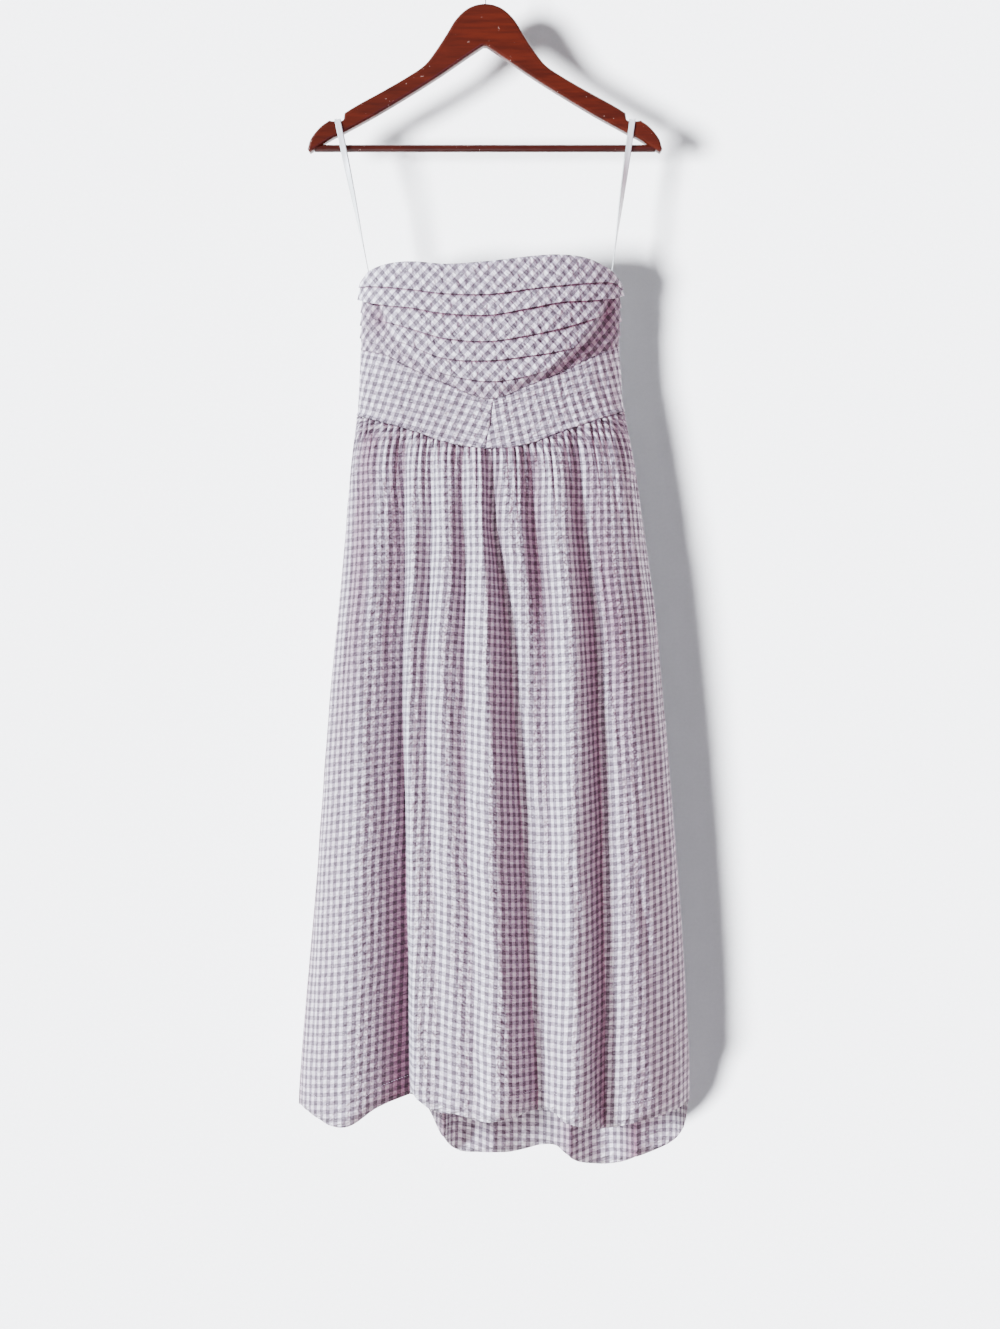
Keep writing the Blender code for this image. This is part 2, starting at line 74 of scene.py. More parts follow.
PLEAT_LINES = [
    ("top", (426, 412, 402, 399, 402, 398, 392, 390, 395, 412, 427)),
    ("one", (432, 431, 432, 435, 440, 441, 434, 430, 427, 427, 435)),
    ("two", (447, 451, 455, 458, 465, 467, 458, 451, 449, 446, 442)),
    ("three", (463, 468, 475, 484, 496, 500, 492, 484, 473, 462, 457)),
    ("four", (479, 484, 494, 505, 521, 524, 518, 512, 502, 483, 474)),
    ("five", (495, 499, 507, 520, 540, 550, 542, 528, 512, 498, 492)),
    ("seam", (510, 512, 517, 533, 551, 571, 553, 538, 521, 508, 505)),
]
CUP_EDGE = [
    (448, -134, 152),
    (473, -124, 142),
    (504, -106, 124),
    (529, -84, 98),
    (548, -54, 75),
    (563, -21, 44),
    (572, 9, 16),
]
WAIST = [(-160, 594), (-122, 603), (-86, 613), (-50, 626), (-14, 633), (22, 634),
         (58, 627), (94, 614), (130, 602), (175, 588)]
FRONT_HEM = [(-232, 1455), (-203, 1474), (-180, 1485), (-162, 1482), (-138, 1461),
             (-112, 1447), (-94, 1442), (-86, 1450), (-66, 1464), (-35, 1469), (-1, 1479), (34, 1473), (58, 1464), (84, 1466),
             (100, 1481), (149, 1486), (208, 1472), (242, 1459), (255, 1448)]
BACK_HEM = [(-232, 1456), (-182, 1448), (-113, 1441), (-78, 1448), (-66, 1468), (-54, 1494),
            (-38, 1511), (-10, 1516), (34, 1515), (70, 1507), (90, 1508), (104, 1519),
            (122, 1528), (166, 1529), (214, 1512), (247, 1486), (255, 1451)]
CENTRE_SEAM_TOP = 12
CENTRE_SEAM_FOOT = 0
BACK_NECK = 433
FOLD_LEVELS = (737, 913, 1425)
FRONT_FOLDS = [
    ("left seam", 0.000, 0.000, 0.000, 0, 0, 0),
    ("crest A", 0.118, 0.105, 0.125, 9, 12, 16),
    ("valley A", 0.195, 0.215, 0.275, -9, -18, -34),
    ("edge B", 0.230, 0.250, 0.309, 9, 9, 4),
    ("dip B1", 0.285, 0.292, 0.370, -5, -2, 2),
    ("crest B1", 0.350, 0.350, 0.415, 9, 11, 9),
    ("dip B2", 0.390, 0.405, 0.452, -5, -2, 6),
    ("crest B2", 0.455, 0.468, 0.502, 10, 14, 21),
    ("valley B", 0.487, 0.545, 0.610, -10, -14, -17),
    ("crest C1", 0.545, 0.600, 0.628, 7, -5, -10),
    ("dip C", 0.635, 0.645, 0.645, -7, -6, 1),
    ("crest C2", 0.715, 0.708, 0.690, 10, 15, 22),
    ("valley C", 0.800, 0.800, 0.785, -9, -9, -12),
    ("crest D", 0.885, 0.885, 0.855, 9, 11, 13),
    ("right seam", 1.000, 1.000, 1.000, 0, 0, 0),
]
BACK_FOLDS = [
    ("left seam", 0.000, 0.000, 0.000, 0, 0, 0),
    ("crest E", 0.085, 0.100, 0.115, 5, 8, 12),
    ("valley E", 0.160, 0.180, 0.215, -6, -9, -15),
    ("crest F", 0.235, 0.260, 0.305, 7, 11, 17),
    ("valley F", 0.315, 0.335, 0.365, -6, -9, -14),
    ("crest G", 0.395, 0.405, 0.415, 6, 9, 14),
    ("centre", 0.500, 0.500, 0.500, -3, -5, -7),
    ("crest H", 0.600, 0.605, 0.610, 7, 10, 16),
    ("valley H", 0.680, 0.690, 0.705, -7, -10, -16),
    ("crest K", 0.765, 0.775, 0.795, 6, 10, 17),
    ("valley K", 0.850, 0.860, 0.880, -5, -7, -10),
    ("crest L", 0.925, 0.935, 0.945, 4, 6, 8),
    ("right seam", 1.000, 1.000, 1.000, 0, 0, 0),
]

# How far the weft hangs off level at the hem: share across, drop.
GRAIN_DROP = [(0.00, 0), (0.10, -10), (0.25, -24), (0.33, -26), (0.50, -12), (0.62, -5),
              (0.72, -10), (1.00, -38)]
# Lanes between the gathers that turn from the light: place under the waist, place lower
# down, half width, depth of shade.
SHADED_LANES = [
    (0.074, 0.078, 0.044, 0.52),
    (0.170, 0.190, 0.038, 0.64),
    (0.370, 0.380, 0.036, 0.38),
    (0.508, 0.530, 0.018, 0.50),
    (0.636, 0.640, 0.034, 0.62),
    (0.782, 0.785, 0.018, 0.48),
    (0.845, 0.855, 0.030, 0.54),
    (0.945, 0.940, 0.020, 0.36),
]
# The hanger's right half: across from its middle, down from its head.
HANGER_TOP = 78
HANGER_THICK = 13
HEAD_AND_ARM = [(-20, 5), (0, 0), (20, 5), (36, 19), (48, 38), (61, 58), (76, 77), (98, 92),
                (129, 110), (160, 127), (176, 137)]
NOTCH = [(177, 145), (179, 146.5), (190, 147)]
ARM_END = [(195, 146), (207, 155), (218, 169), (222, 182)]
ARM_FOOT = [(219, 186), (192, 169), (176, 161), (129, 135), (67, 97), (20, 65), (2, 53)]


# Reading the tables

def mix(a, b, share):
    return a + (b - a) * share


def smooth(share):
    share = np.clip(share, 0.0, 1.0)
    return share * share * (3 - 2 * share)


def table(rows, where, column):
    """A smooth curve through a table's rows, read at each of these places."""
    x = np.array([row[0] for row in rows], float)
    y = np.array([row[column] for row in rows], float)
    where = np.clip(where, x[0], x[-1])
    i = np.clip(np.searchsorted(x, where) - 1, 0, len(x) - 2)
    lo = np.maximum(np.arange(len(x)) - 1, 0)
    hi = np.minimum(np.arange(len(x)) + 1, len(x) - 1)
    slope = (y[hi] - y[lo]) / (x[hi] - x[lo])
    span = x[i + 1] - x[i]
    t = (where - x[i]) / span
    value = mix(y[i], y[i + 1], smooth(t))
    value = value + slope[i] * span * t * (1 - t) ** 2
    return value - slope[i + 1] * span * t * t * (1 - t)


def section(z):
    down = -z / MM
    return [table(SECTIONS, down, column) * MM for column in (1, 2, 3, 4)]


def base(turn, z, side):
    """Points of the plain form and their outward directions, as arrays."""
    left, right, front, back = section(z)
    half = (right - left) / 2
    depth = front if side < 0 else back
    angle = math.pi * turn
    x = (left + right) / 2 - half * np.cos(angle)
    y = side * depth * np.sin(angle)
    out = np.stack([-np.cos(angle) / half, side * np.sin(angle) / depth, 0 * x], -1)
    out /= np.linalg.norm(out, axis=-1, keepdims=True)
    return np.stack([x, y, z + 0 * x], -1), out


def seen_line(rows, turn, side, near, column=1):
    """The heights of a line that the table gives as it is seen from the camera."""
    point, _ = base(turn, np.full_like(turn, -near * MM), side)
    away = (point[..., 1] - EYE[1]) / -EYE[1]
    across = (EYE[0] + (point[..., 0] - EYE[0]) / away) / MM
    return EYE[2] + (-table(rows, across, column) * MM - EYE[2]) * away


def waist(turn, side):
    if side > 0:
        return -mix(594, 588, turn) * MM
    return seen_line(WAIST, turn, side, 610)


def hem(turn, side):
    return seen_line(FRONT_HEM if side < 0 else BACK_HEM, turn, side, 1470)


def pleat_line(index, turn):
    rows = list(zip(PLEAT_ACROSS, PLEAT_LINES[index][1]))
    return seen_line(rows, turn, -1, 470)


def back_neck(turn):
    ends = mix(PLEAT_LINES[0][1][0], PLEAT_LINES[0][1][-1], turn)
    return -mix(ends, BACK_NECK, np.sin(math.pi * turn)) * MM


def even_turns(shares):
    """Turns that lie at these shares of the waist's length."""
    left, right, front, _ = section(np.array(-0.60))
    angle = math.pi * (np.arange(2000) + 0.5) / 2000
    step = np.hypot((right - left) / 2 * np.sin(angle), front * np.cos(angle))
    length = np.concatenate([[0], np.cumsum(step)])
    return np.interp(shares, length / length[-1], np.linspace(0, 1, 2001))


def noise(seed, *places):
    """Smooth, seeded unevenness between about -1 and 1."""
    rng = np.random.default_rng(seed)
    value = 0
    for octave in range(4):
        phase = rng.uniform(0, 2 * math.pi)
        wave = rng.uniform(0.7, 1.4, len(places)) * (1.7 ** octave)
        turn = sum(w * p for w, p in zip(wave, places))
        value = value + np.sin(turn + phase + 1.3 * np.sin(turn * 0.37 + phase)) / (octave + 1)
    return value / 2.1


# Materials

def nodes_of(material):
    material.use_nodes = True
    tree = material.node_tree
    tree.nodes.clear()
    out = tree.nodes.new("ShaderNodeOutputMaterial")
    shader = tree.nodes.new("ShaderNodeBsdfPrincipled")
    tree.links.new(shader.outputs[0], out.inputs[0])
    return tree, shader


def math_node(tree, operation, a, b=None, c=None, clamp=False):
    node = tree.nodes.new("ShaderNodeMath")
    node.operation = operation
    node.use_clamp = clamp
    for index, value in enumerate((a, b, c)):
        if value is None:
            continue
        if isinstance(value, (int, float)):
            node.inputs[index].default_value = value
        else:
            tree.links.new(value, node.inputs[index])
    return node.outputs[0]


def mix_colour(tree, factor, a, b, blend="MIX"):
    node = tree.nodes.new("ShaderNodeMix")
    node.data_type = "RGBA"
    node.blend_type = blend
    for socket, value in ((node.inputs[0], factor), (node.inputs[6], a), (node.inputs[7], b)):
        if isinstance(value, (int, float)):
            socket.default_value = value
        elif isinstance(value, tuple):
            socket.default_value = (*value, 1) if len(value) == 3 else value
        else:
            tree.links.new(value, socket)
    return node.outputs[2]


def scaled(tree, vector, x, y, z=1.0):
    node = tree.nodes.new("ShaderNodeMapping")
    node.inputs["Scale"].default_value = (x, y, z)
    tree.links.new(vector, node.inputs["Vector"])
    return node.outputs[0]


def noise_of(tree, vector, scale, detail=2.0, rough=0.5):
    node = tree.nodes.new("ShaderNodeTexNoise")
    node.inputs["Scale"].default_value = scale
    node.inputs["Detail"].default_value = detail
    node.inputs["Roughness"].default_value = rough
    tree.links.new(vector, node.inputs["Vector"])
    return node.outputs[0]


def ramp_of(tree, factor, stops):
    node = tree.nodes.new("ShaderNodeValToRGB")
    ramp = node.color_ramp
    while len(ramp.elements) < len(stops):
        ramp.elements.new(0.5)
    for element, (place, colour) in zip(ramp.elements, stops):
        element.position = place
        element.color = (*colour, 1)
    tree.links.new(factor, node.inputs[0])
    return node.outputs[0]


def bump(tree, shader, height, strength, distance, before=None):
    node = tree.nodes.new("ShaderNodeBump")
    node.inputs["Strength"].default_value = strength
    node.inputs["Distance"].default_value = distance
    tree.links.new(height, node.inputs["Height"])
    if before is not None:
        tree.links.new(before, node.inputs["Normal"])
    tree.links.new(node.outputs[0], shader.inputs["Normal"])
    return node.outputs[0]


def gingham():
    """Woven check: lilac and white bands of equal width both ways, with the puckered
    warp bands of seersucker. The cloth layer holds metres along the weft and warp."""
    material = bpy.data.materials.new("gingham_seersucker")
    tree, shader = nodes_of(material)
    uv = tree.nodes.new("ShaderNodeUVMap")
    uv.uv_map = "cloth"
    split = tree.nodes.new("ShaderNodeSeparateXYZ")
    tree.links.new(uv.outputs[0], split.inputs[0])
    wander = noise_of(tree, uv.outputs[0], 60.0, 2.0)
    wander = math_node(tree, "MULTIPLY", math_node(tree, "SUBTRACT", wander, 0.5), 0.0011)
    bands = []
    for axis in (0, 1):
        place = math_node(tree, "ADD", split.outputs[axis], wander)
        turn = math_node(tree, "MULTIPLY", place, 2 * math.pi / CHECK)
        wave = math_node(tree, "SINE", turn)
        sharp = math_node(tree, "MULTIPLY_ADD", wave, 4.5, 0.5, clamp=True)
        bands.append(sharp)
    warp, weft = bands
    colour = mix_colour(tree, weft, mix_colour(tree, warp, WHITE, LILAC),
                        mix_colour(tree, warp, PALE, DARK))
    threads = noise_of(tree, scaled(tree, uv.outputs[0], 2600, 700), 1.0, 1.0)
    threads2 = noise_of(tree, scaled(tree, uv.outputs[0], 700, 2600), 1.0, 1.0)
    fleck = math_node(tree, "MULTIPLY", math_node(tree, "ADD", threads, threads2), 0.5)
    colour = mix_colour(tree, 0.22, colour, ramp_of(tree, fleck, [
        (0.30, (0.45, 0.38, 0.50)), (0.70, (1.0, 0.98, 1.0))]), "OVERLAY")
    # Painted highlight: pale spots on the puckers, whitened as if lit, whatever the light.
    painted_glint = noise_of(tree, scaled(tree, uv.outputs[0], 230, 390), 1.0, 2.0, 0.6)
    painted_glint = math_node(tree, "MULTIPLY_ADD", painted_glint, 3.0, -1.62, clamp=True)
    colour = mix_colour(tree, math_node(tree, "MULTIPLY", painted_glint, 0.6), colour, WHITE)
    # Painted shade: a per-point attribute darkens the cloth towards pink-mauve in the folds, between
    # the gathers, under the pleats, along the seams and towards the sides.
    painted_shade = tree.nodes.new("ShaderNodeAttribute")
    painted_shade.attribute_name = "painted_shade"
    depth = math_node(tree, "MULTIPLY", painted_shade.outputs["Fac"], 1.0, clamp=True)
    colour = mix_colour(tree, depth, colour, (0.31, 0.14, 0.205), "MULTIPLY")
    tree.links.new(colour, shader.inputs["Base Color"])
    shader.inputs["Roughness"].default_value = 0.82
    shader.inputs["Sheen Weight"].default_value = 0.08
    shader.inputs["Sheen Roughness"].default_value = 0.5
    shader.inputs["Specular IOR Level"].default_value = 0.25
    slant = tree.nodes.new("ShaderNodeMapping")
    slant.inputs["Rotation"].default_value = (0, 0, math.radians(-32))
    slant.inputs["Scale"].default_value = (150, 300, 1)
    tree.links.new(uv.outputs[0], slant.inputs["Vector"])
    pucker = noise_of(tree, slant.outputs[0], 1.0, 2.0, 0.55)
    broad = noise_of(tree, scaled(tree, uv.outputs[0], 120, 190), 1.0, 1.0)
    ridge = math_node(tree, "MULTIPLY", pucker, math_node(tree, "MULTIPLY_ADD", warp, -0.5, 1.0))
    ridge = math_node(tree, "ADD", ridge, math_node(tree, "MULTIPLY", broad, 0.8))
    normal = bump(tree, shader, ridge, 1.0, 0.0055)
    bump(tree, shader, fleck, 0.3, 0.0004, normal)
    return material


WHITE = (0.90, 0.89, 0.91)
LILAC = (0.305, 0.272, 0.312)
PALE = (0.43, 0.39, 0.44)
DARK = (0.125, 0.105, 0.125)


def satin():
    material = bpy.data.materials.new("satin_ribbon")
    tree, shader = nodes_of(material)
    uv = tree.nodes.new("ShaderNodeUVMap")
    uv.uv_map = "cloth"
    grain = noise_of(tree, scaled(tree, uv.outputs[0], 900, 60), 1.0, 2.0)
    colour = ramp_of(tree, grain, [(0.3, (0.68, 0.74, 0.70)), (0.7, (0.86, 0.90, 0.87))])
    split = tree.nodes.new("ShaderNodeSeparateXYZ")
    tree.links.new(uv.outputs[0], split.inputs[0])
    # The ribbon is darker along both edges.
    off = math_node(tree, "ABSOLUTE", math_node(tree, "SUBTRACT", split.outputs[0], 0.00375))
    darker_edge = math_node(tree, "MULTIPLY_ADD", off, 1400, -3.7, clamp=True)
    colour = mix_colour(tree, darker_edge, colour, (0.42, 0.46, 0.43))
    tree.links.new(colour, shader.inputs["Base Color"])
    shader.inputs["Roughness"].default_value = 0.34
    shader.inputs["Anisotropic"].default_value = 0.5
    shader.inputs["Sheen Weight"].default_value = 0.2
    bump(tree, shader, grain, 0.25, 0.0003)
    return material


def lacquer(name, dark, light, seed, shine):
    """Mahogany under lacquer: long grain, a soft gloss, and a few pale scuffs."""
    material = bpy.data.materials.new(name)
    tree, shader = nodes_of(material)
    place = tree.nodes.new("ShaderNodeTexCoord").outputs["Object"]
    grain = noise_of(tree, scaled(tree, place, 14 + seed, 60, 150), 1.0, 5.0, 0.6)
    broad = noise_of(tree, scaled(tree, place, 6, 8, 10 + seed), 1.0, 2.0)
    colour = ramp_of(tree, grain, [(0.32, dark), (0.68, light)])
    colour = mix_colour(tree, math_node(tree, "MULTIPLY", broad, 0.5), colour, dark)
    scuffs = noise_of(tree, scaled(tree, place, 320, 320, 320), 1.0, 2.0, 0.7)
    patch = noise_of(tree, scaled(tree, place, 42, 42, 42), 1.0, 1.0)
    mark = math_node(tree, "MULTIPLY",
                     math_node(tree, "GREATER_THAN", scuffs, 0.68),
                     math_node(tree, "GREATER_THAN", patch, 0.57))
    colour = mix_colour(tree, mark, colour, (0.62, 0.47, 0.38))
    tree.links.new(colour, shader.inputs["Base Color"])
    gloss = math_node(tree, "MULTIPLY_ADD", broad, 0.16, 0.26)
    tree.links.new(gloss, shader.inputs["Roughness"])
    shader.inputs["Specular IOR Level"].default_value = shine
    shader.inputs["Coat Weight"].default_value = 0.4 * shine
    shader.inputs["Coat Roughness"].default_value = 0.18
    bump(tree, shader, grain, 0.12, 0.0004)
    return material


def metal(name, colour, rough):
    material = bpy.data.materials.new(name)
    tree, shader = nodes_of(material)
    place = tree.nodes.new("ShaderNodeTexCoord").outputs["Object"]
    scratch = noise_of(tree, scaled(tree, place, 900, 900, 120), 1.0, 3.0)
    shade = ramp_of(tree, scratch, [(0.3, tuple(c * 0.8 for c in colour)), (0.7, colour)])
    tree.links.new(shade, shader.inputs["Base Color"])
    shader.inputs["Metallic"].default_value = 1.0
    tree.links.new(math_node(tree, "MULTIPLY_ADD", scratch, 0.2, rough), shader.inputs["Roughness"])
    bump(tree, shader, scratch, 0.1, 0.0002)
    return material


def thread():
    material = bpy.data.materials.new("stitch_thread")
    tree, shader = nodes_of(material)
    place = tree.nodes.new("ShaderNodeTexCoord").outputs["Object"]
    ply = noise_of(tree, place, 1800.0, 1.0)
    shade = ramp_of(tree, ply, [(0.3, (0.58, 0.50, 0.64)), (0.7, (0.80, 0.75, 0.84))])
    tree.links.new(shade, shader.inputs["Base Color"])
    shader.inputs["Roughness"].default_value = 0.6
    return material


# Cloth meshes

def cloth_object(name, points, cloth, material, thick=CLOTH_SHOWN, painted_shade=None):
    """A grid of points as a thin shell. Cloth gives metres along the weft and the warp."""
    rows, columns = points.shape[:2]
    mesh = bpy.data.meshes.new(name)
    index = np.arange(rows * columns).reshape(rows, columns)
    quads = np.stack([index[:-1, :-1], index[1:, :-1], index[1:, 1:], index[:-1, 1:]], -1)
    quads = quads.reshape(-1, 4)
    mesh.vertices.add(rows * columns)
    mesh.vertices.foreach_set("co", points.reshape(-1))
    mesh.loops.add(quads.size)
    mesh.loops.foreach_set("vertex_index", quads.reshape(-1).astype(np.int32))
    mesh.polygons.add(len(quads))
    mesh.polygons.foreach_set("loop_start", np.arange(0, quads.size, 4, dtype=np.int32))
    mesh.polygons.foreach_set("loop_total", np.full(len(quads), 4, np.int32))
    mesh.update(calc_edges=True)
    layer = mesh.uv_layers.new(name="cloth")
    layer.data.foreach_set("uv", cloth.reshape(-1, 2)[quads.reshape(-1)].reshape(-1))
    mesh.polygons.foreach_set("use_smooth", np.ones(len(quads), bool))
    # The optional per-point values are painted shade, which the cloth's material multiplies into its
    # colour.
    if painted_shade is not None:
        mark = mesh.attributes.new("painted_shade", "FLOAT", "POINT")
        mark.data.foreach_set("value", np.ascontiguousarray(painted_shade, np.float32).reshape(-1))
    mesh.materials.append(material)
    mesh.validate()
    obj = bpy.data.objects.new(name, mesh)
    bpy.context.scene.collection.objects.link(obj)
    solid = obj.modifiers.new("cloth", "SOLIDIFY")
    solid.thickness = thick
    solid.offset = -1
    return obj


def face_out(points, out):
    """The grid with its columns in the order that makes its faces point outwards."""
    across = points[0, 1] - points[0, 0]
    down = points[1, 0] - points[0, 0]
    return np.dot(np.cross(down, across), out[0, 0]) > 0


def settle(name, points, out, cloth, material, nodes,
           painted_shade=None):
    if not face_out(points, out):
        points = points[:, ::-1]
        cloth = cloth[:, ::-1]
        painted_shade = painted_shade if painted_shade is None else painted_shade[:, ::-1]
    obj = cloth_object(name, np.ascontiguousarray(points), np.ascontiguousarray(cloth), material,
                       painted_shade=painted_shade)
    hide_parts(*nodes)
    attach(obj, BODY)
    return obj


BODY = "dress"


# Skirt

def fold_rise(folds, share, z):
    down = -z / MM
    places = []
    rises = []
    for fold in folds:
        places.append(table(list(zip(FOLD_LEVELS, fold[1:4])), down, 1))
        rises.append(table([(590, 0)] + list(zip(FOLD_LEVELS, fold[4:7])), down, 1))
    places = np.stack(places)
    rises = np.stack(rises)
    low = np.clip((places <= share[None]).sum(0) - 1, 0, len(folds) - 2)[None]
    p0 = np.take_along_axis(places, low, 0)[0]
    p1 = np.take_along_axis(places, low + 1, 0)[0]
    r0 = np.take_along_axis(rises, low, 0)[0]
    r1 = np.take_along_axis(rises, low + 1, 0)[0]
    t = np.clip((share - p0) / (p1 - p0), 0, 1)
    creased = np.where(r1 < r0, t ** 1.8, 1 - (1 - t) ** 2.1)
    shade = np.where(r1 < r0, t ** 1.3 * (r0 - r1), (1 - t) ** 9 * (r1 - r0)) / 42
    return mix(r0, r1, mix(smooth(t), creased, 0.75)) * MM, np.clip(shade, 0, 0.9)


def gather_rise(around, below, seed):
    """Fine gathers under the waist seam, round on their ridges and creased between, that
    run on as softer folds. The second result is painted shade, deepest between the ridges."""
    column = around * GATHERS * 4
    wobble = 0.9 * noise(seed, around * 23, below * 3) + 0.5 * noise(seed + 7, around * 90)
    phase = 2 * math.pi * (column / 4) + wobble
    uneven = 0.9 + 0.75 * noise(seed + 8, around * 95)
    reach = 0.036 + 0.024 * noise(seed + 3, around * 83 + 2)
    ridge = 2 * np.abs(np.sin(phase / 2)) ** 0.8 - 1.2
    fine = 3.0 * MM * uneven * ridge * np.exp(-below / reach)
    start = smooth(below / 0.04)
    flare = 1.3 * MM * (1.9 * np.abs(np.cos(phase / 4 + 1.2 * noise(seed + 1, around * 31))) - 1.1)
    fade = np.exp(-below / (0.12 + 0.07 * noise(seed + 2, around * 17)))
    painted_shade = (1 - np.abs(np.sin(phase / 2))) ** 2.5 * np.clip(uneven, 0.3, 1)
    painted_shade = painted_shade * np.exp(-below / (0.8 * reach))
    return fine + start * flare * fade, painted_shade


def lanes(share, below, side):
    """How far each point of the skirt's upper half lies in a shaded lane."""
    depth = 0 * share
    for number, (high, low, half, shade) in enumerate(SHADED_LANES):
        place = mix(high, low, smooth(below / 0.35)) + 0.006 * noise(50 + number, below * 9)
        across = np.abs(share - place) / (half * (1 + 0.25 * noise(60 + number, below * 7)))
        fade = smooth(below / 0.02) * (1 - 0.8 * smooth((below - 0.2) / 0.3))
        depth = np.maximum(depth, shade * np.exp(-across ** 4) * fade)
    return depth if side < 0 else 0.6 * depth


def skirt_grid(first, last, side, folds, columns, rows, seed):
    around = np.linspace(first, last, columns)[None].repeat(rows, 0)
    turn = np.clip(even_turns(around), 0.0012, 0.9988)
    drop = np.linspace(0, 1, rows)[:, None].repeat(columns, 1)
    drop = drop ** 1.35
    top = waist(turn, side) - SEAM_GAP / 2
    foot = hem(turn, side)
    point, out = base(turn, foot, side)
    left, right, _, _ = section(foot)
    deep, _ = fold_rise(folds, (point[..., 0] - left) / (right - left), foot)
    foot = EYE[2] + (foot - EYE[2]) * (1 + out[..., 1] * deep / (point[..., 1] - EYE[1]))
    z = mix(top, foot, drop)
    point, out = base(turn, z, side)
    left, right, _, _ = section(z)
    share = (point[..., 0] - left) / (right - left)
    low = smooth((top - z) / 0.15)
    share = np.clip(share + 0.006 * noise(seed + 9, z * 9, around * 5) * low, 0, 1)
    gather, painted_shade = gather_rise(around, top - z, seed)
    rise, shade = fold_rise(folds, share, z)
    rise = rise + gather
    lean = around * 24 + 0.6 * noise(seed + 6, z * 4) + 0.7 * z
    ripple = 3.8 * MM * (np.abs(noise(seed + 4, lean, z * 1.3)) ** 0.8 - 0.45)
    ripple = ripple * mix(1.0, 0.4, smooth((top - z - 0.25) / 0.5))
    dent = 0.9 * MM * noise(seed + 5, around * 60, z * 26)
    rise = rise + (ripple + dent) * low
    rise = rise * smooth(np.minimum(turn, 1 - turn) / 0.03)
    outer = point + out * rise[..., None]
    step = np.linalg.norm(np.diff(outer, axis=1), axis=-1)
    length = np.concatenate([np.zeros((rows, 1)), np.cumsum(step, 1)], 1)
    along = length / length[:, -1:]
    cut = SKIRT_CUT * np.sqrt(length[:, -1:] / length[-1, -1])
    cut = 0.93 * cut
    warp = (z - top[0].mean()) / 1.04 + table(GRAIN_DROP, share, 1) * MM * smooth((top - z) / 0.6)
    cloth = np.stack([cut * mix(first - 0.5, last - 0.5, along), warp], -1)
    # Painted shade: between the gathers and along the waist seam, in the fold valleys, in the shaded
    # lanes, and darker towards both sides of the skirt.
    painted_shade = 1.0 * painted_shade + 0.5 * np.exp(-(top - z) / 0.0015)
    shade = shade * (1.06 - 0.34 * np.exp(-((share - 0.55) / 0.06) ** 2))
    painted_side_shade = 0.32 * (1 - smooth(share / 0.2)) + 0.18 * smooth((share - 0.9) / 0.08)
    painted_side_shade = painted_side_shade + 0.3 * np.exp(-((share - 0.87) / 0.05) ** 2) * smooth((top - z) / 0.3)
    shade = np.maximum(shade * smooth((top - z) / 0.35), lanes(share, top - z, side))
    painted_shade = np.maximum(painted_shade, shade + painted_side_shade)
    return outer, out, cloth, painted_shade


def skirt(material):
    pieces = [
        ("skirt_front_cloth", "skirt_front", 0, 1, -1, FRONT_FOLDS, 520, 82, 3),
        ("skirt_back_left_cloth", "skirt_back_left", 0, 0.5, 1, BACK_FOLDS, 250, 82, 7),
        ("skirt_back_right_cloth", "skirt_back_right", 0.5, 1, 1, BACK_FOLDS, 250, 82, 7),
    ]
    for name, node, first, last, side, folds, columns, rows, seed in pieces:
        points, out, cloth, painted_shade = skirt_grid(first, last, side, folds, columns, rows, seed)
        settle(name, points, out, cloth, material, [node],
               painted_shade=painted_shade)


# Bodice

def bust_rise(across, down, seam_down, above_two):
    left = table(CUP_EDGE, down, 1)
    right = table(CUP_EDGE, down, 2)
    inside = smooth((across - left) / 12 + 0.5) * smooth((right - across) / 12 + 0.5)
    hollow = -5.0 * MM * np.exp(-(((across + 130) / 13) ** 2 + ((down - 478) / 24) ** 2))
    hollow = hollow - 3.0 * MM * np.exp(-(((across - 150) / 9) ** 2 + ((down - 470) / 22) ** 2))
    below = CUP_RISE * inside + hollow * (1 - inside)
    ends = 0.65 + 0.35 * smooth(np.minimum(across + 156, 170 - across) / 20)
    # Painted shade: in a recess under the second pleat at each side, outside the cups, and growing over
    # the right half.
    dip = np.exp(-(((across + 128) / 15) ** 2 + ((down - 472) / 20) ** 2))
    dip = dip + 0.8 * np.exp(-(((across - 147) / 9) ** 2 + ((down - 462) / 20) ** 2))
    shaded = 0.34 * (1 - inside) + 0.26 * smooth((across - 50) / 60)
    shade = np.where(above_two, 0.24 * smooth((across - 80) / 60), 0.42 * dip + shaded)
    return np.where(above_two, CUP_RISE * ends, below) * smooth((seam_down - down) / 12), shade


def centre_turn(share):
    across = mix(CENTRE_SEAM_TOP, CENTRE_SEAM_FOOT, share) * MM
    left, right, _, _ = section(np.array(-0.60))
    return np.arccos((left + right - 2 * across) / (right - left)) / math.pi


